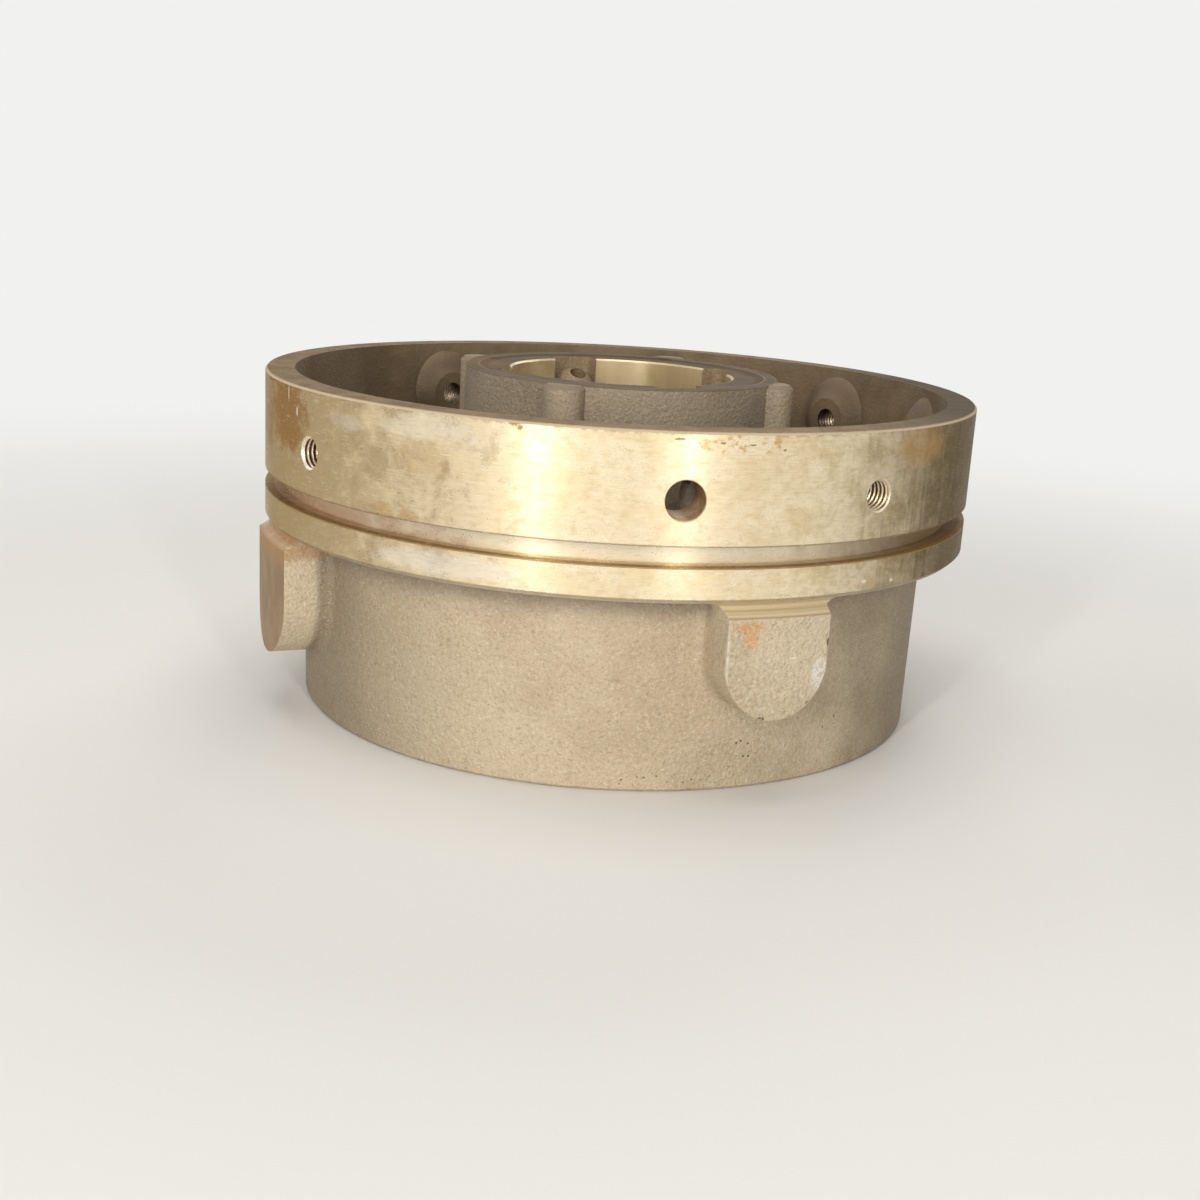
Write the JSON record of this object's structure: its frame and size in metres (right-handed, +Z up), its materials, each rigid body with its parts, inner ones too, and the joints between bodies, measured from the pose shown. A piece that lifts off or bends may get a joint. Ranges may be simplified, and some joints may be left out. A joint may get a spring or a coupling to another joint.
{
  "type": "pump casing",
  "caption": "Round bronze pump casing with a turned and grooved band at its mouth, a cast drum with side lugs and a central bored hub.",
  "frame": {"origin": "on the casing axis in the plane of the bottom face", "axes": "+Z up the casing axis towards the open mouth; the wider lug is to the left of -Y and the narrower one to the right"},
  "size_m": [0.24, 0.24, 0.1128],
  "materials": {
    "bronze": "sand cast, with turned bands and faces"
  },
  "bodies": {
    "root": {"pump_casing": "bronze"}
  },
  "joints": []
}
